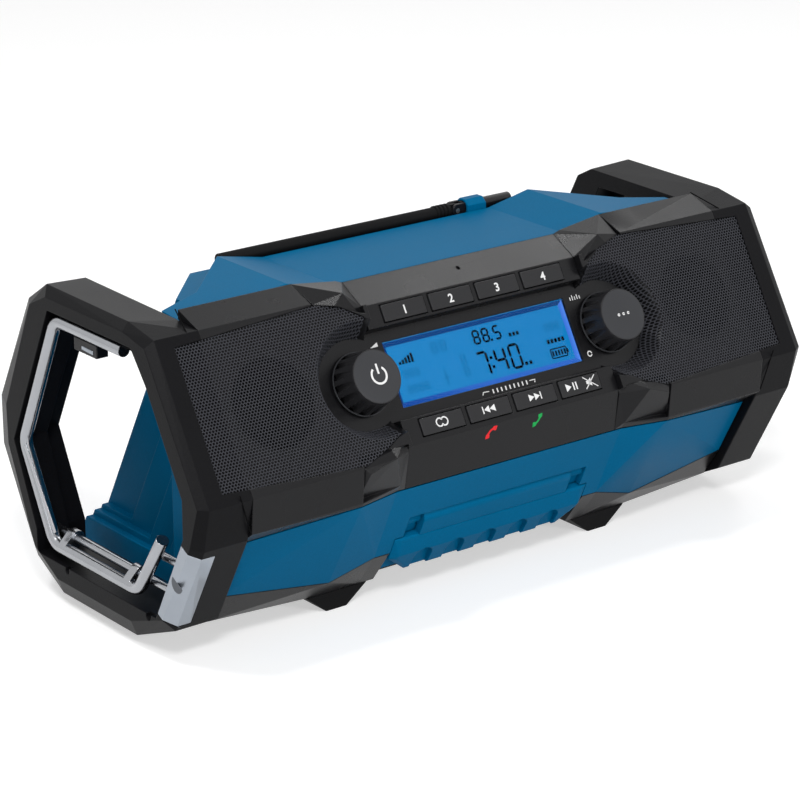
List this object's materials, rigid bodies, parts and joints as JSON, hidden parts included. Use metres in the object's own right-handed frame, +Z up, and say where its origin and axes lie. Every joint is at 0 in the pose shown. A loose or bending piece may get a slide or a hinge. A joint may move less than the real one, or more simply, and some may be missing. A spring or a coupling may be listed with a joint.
{
  "type": "jobsite radio",
  "caption": "Rugged portable radio with grab rings at both ends, speakers beside a sloping control panel with display, a fold-out hook, flexible antenna, hatch and slide-in battery.",
  "frame": {"origin": "middle of the footprint, on the surface the radio stands on", "axes": "+X along the length, to the right as the front is faced; +Y to the back; +Z up"},
  "size_m": [0.356, 0.1717, 0.1543],
  "materials": {
    "black_plastic": "fine texture",
    "ring_black": "fine texture",
    "rubber": "matte",
    "blue_plastic": "fine texture",
    "grille_black": "satin",
    "knob_black": "satin",
    "key_black": "satin",
    "clear_lens": "clear",
    "display_blue": "lit",
    "circuit_board": "satin",
    "inner_black": "matte",
    "steel": "satin",
    "speaker_paper": "matte",
    "cell_wrap": "gloss",
    "pack_black": "fine texture",
    "pack_blue": "satin",
    "antenna_black": "satin",
    "chrome": "polished",
    "plate_steel": "satin",
    "clip_black": "satin"
  },
  "bodies": {
    "radio": {"front_frame": "black_plastic", "console_panel": "black_plastic", "base_skid": "black_plastic", "left_end_ring": "ring_black", "right_end_ring": "ring_black", "feet": "rubber", "speaker_gaskets": "rubber", "roof_panel": "blue_plastic", "rear_housing": "blue_plastic", "lower_front_panel": "blue_plastic", "left_end_wall": "blue_plastic", "right_end_wall": "blue_plastic", "antenna_clamp": "blue_plastic", "left_grille": "grille_black", "right_grille": "grille_black", "display_lens": "clear_lens", "display_module": "display_blue", "main_board": "circuit_board", "key_board": "circuit_board", "key_switches": "inner_black", "cell_tray": "inner_black", "battery_terminals": "inner_black", "aux_sockets": "inner_black", "left_encoder": "steel", "right_encoder": "steel", "left_speaker_basket": "steel", "right_speaker_basket": "steel", "left_speaker_magnet": "steel", "right_speaker_magnet": "steel", "hatch_pins": "steel", "antenna_pin": "steel", "port_cover_pin": "steel", "base_screws": "steel", "left_speaker_cone": "speaker_paper", "right_speaker_cone": "speaker_paper", "backup_cells": "cell_wrap", "antenna_base": "antenna_black", "hook_pins": "chrome", "hook_plate": "plate_steel", "hook_clip": "clip_black"},
    "top_key_1": {"top_key_1": "key_black"},
    "top_key_2": {"top_key_2": "key_black"},
    "top_key_3": {"top_key_3": "key_black"},
    "top_key_4": {"top_key_4": "key_black"},
    "low_key_1": {"low_key_1": "key_black"},
    "low_key_2": {"low_key_2": "key_black"},
    "low_key_3": {"low_key_3": "key_black"},
    "low_key_4": {"low_key_4": "key_black"},
    "left_plunger": {"left_knob_plunger": "steel"},
    "right_plunger": {"right_knob_plunger": "steel"},
    "left_knob": {"left_knob": "knob_black", "left_knob_shaft": "steel"},
    "right_knob": {"right_knob": "knob_black", "right_knob_shaft": "steel"},
    "hatch": {"hatch": "blue_plastic"},
    "battery_pack": {"battery_pack": "pack_black"},
    "battery_release": {"battery_release": "pack_blue"},
    "antenna_mast": {"antenna_mast": "antenna_black"},
    "hook": {"hook": "chrome"},
    "port_cover": {"port_cover": "rubber"}
  },
  "joints": [
    {"name": "top_key_1_press", "type": "slide", "parent": "radio", "child": "top_key_1", "axis": [0, 0.8616, -0.5075], "range_m": [0, 0.0012], "stiffness_N_per_m": 600, "springref_m": -0.0005},
    {"name": "top_key_2_press", "type": "slide", "parent": "radio", "child": "top_key_2", "axis": [0, 0.8616, -0.5075], "range_m": [0, 0.0012], "stiffness_N_per_m": 600, "springref_m": -0.0005},
    {"name": "top_key_3_press", "type": "slide", "parent": "radio", "child": "top_key_3", "axis": [0, 0.8616, -0.5075], "range_m": [0, 0.0012], "stiffness_N_per_m": 600, "springref_m": -0.0005},
    {"name": "top_key_4_press", "type": "slide", "parent": "radio", "child": "top_key_4", "axis": [0, 0.8616, -0.5075], "range_m": [0, 0.0012], "stiffness_N_per_m": 600, "springref_m": -0.0005},
    {"name": "low_key_1_press", "type": "slide", "parent": "radio", "child": "low_key_1", "axis": [0, 0.8616, -0.5075], "range_m": [0, 0.0012], "stiffness_N_per_m": 600, "springref_m": -0.0005},
    {"name": "low_key_2_press", "type": "slide", "parent": "radio", "child": "low_key_2", "axis": [0, 0.8616, -0.5075], "range_m": [0, 0.0012], "stiffness_N_per_m": 600, "springref_m": -0.0005},
    {"name": "low_key_3_press", "type": "slide", "parent": "radio", "child": "low_key_3", "axis": [0, 0.8616, -0.5075], "range_m": [0, 0.0012], "stiffness_N_per_m": 600, "springref_m": -0.0005},
    {"name": "low_key_4_press", "type": "slide", "parent": "radio", "child": "low_key_4", "axis": [0, 0.8616, -0.5075], "range_m": [0, 0.0012], "stiffness_N_per_m": 600, "springref_m": -0.0005},
    {"name": "left_knob_press", "type": "slide", "parent": "radio", "child": "left_plunger", "axis": [0, 0.8616, -0.5075], "range_m": [0, 0.001], "stiffness_N_per_m": 1500, "springref_m": -0.0008},
    {"name": "left_knob_turn", "type": "hinge", "parent": "left_plunger", "child": "left_knob", "pos_m": [-0.0726, -0.06547, 0.11461], "axis": [0, -0.8616, 0.5075], "continuous": true},
    {"name": "right_knob_press", "type": "slide", "parent": "radio", "child": "right_plunger", "axis": [0, 0.8616, -0.5075], "range_m": [0, 0.001], "stiffness_N_per_m": 1500, "springref_m": -0.0008},
    {"name": "right_knob_turn", "type": "hinge", "parent": "right_plunger", "child": "right_knob", "pos_m": [0.0726, -0.06547, 0.11461], "axis": [0, -0.8616, 0.5075], "continuous": true},
    {"name": "hatch_hinge", "type": "hinge", "parent": "radio", "child": "hatch", "pos_m": [0, -0.06267, 0.04192], "axis": [-1, 0, 0], "range_deg": [0, 90]},
    {"name": "battery_slide", "type": "slide", "parent": "radio", "child": "battery_pack", "axis": [0, 1, 0], "range_m": [0, 0.106]},
    {"name": "battery_release_press", "type": "slide", "parent": "battery_pack", "child": "battery_release", "axis": [0, -1, 0], "range_m": [0, 0.0025], "stiffness_N_per_m": 600, "springref_m": -0.0005},
    {"name": "antenna_fold", "type": "hinge", "parent": "radio", "child": "antenna_mast", "pos_m": [0.0505, 0.0296, 0.1498], "axis": [0, 1, 0], "range_deg": [0, 90]},
    {"name": "hook_swing", "type": "hinge", "parent": "radio", "child": "hook", "pos_m": [-0.1695, 0, 0.033], "axis": [0, -1, 0], "range_deg": [0, 95]},
    {"name": "port_cover_hinge", "type": "hinge", "parent": "radio", "child": "port_cover", "pos_m": [0.066, 0.0785, 0.0215], "axis": [-1, 0, 0], "range_deg": [0, 90]}
  ]
}
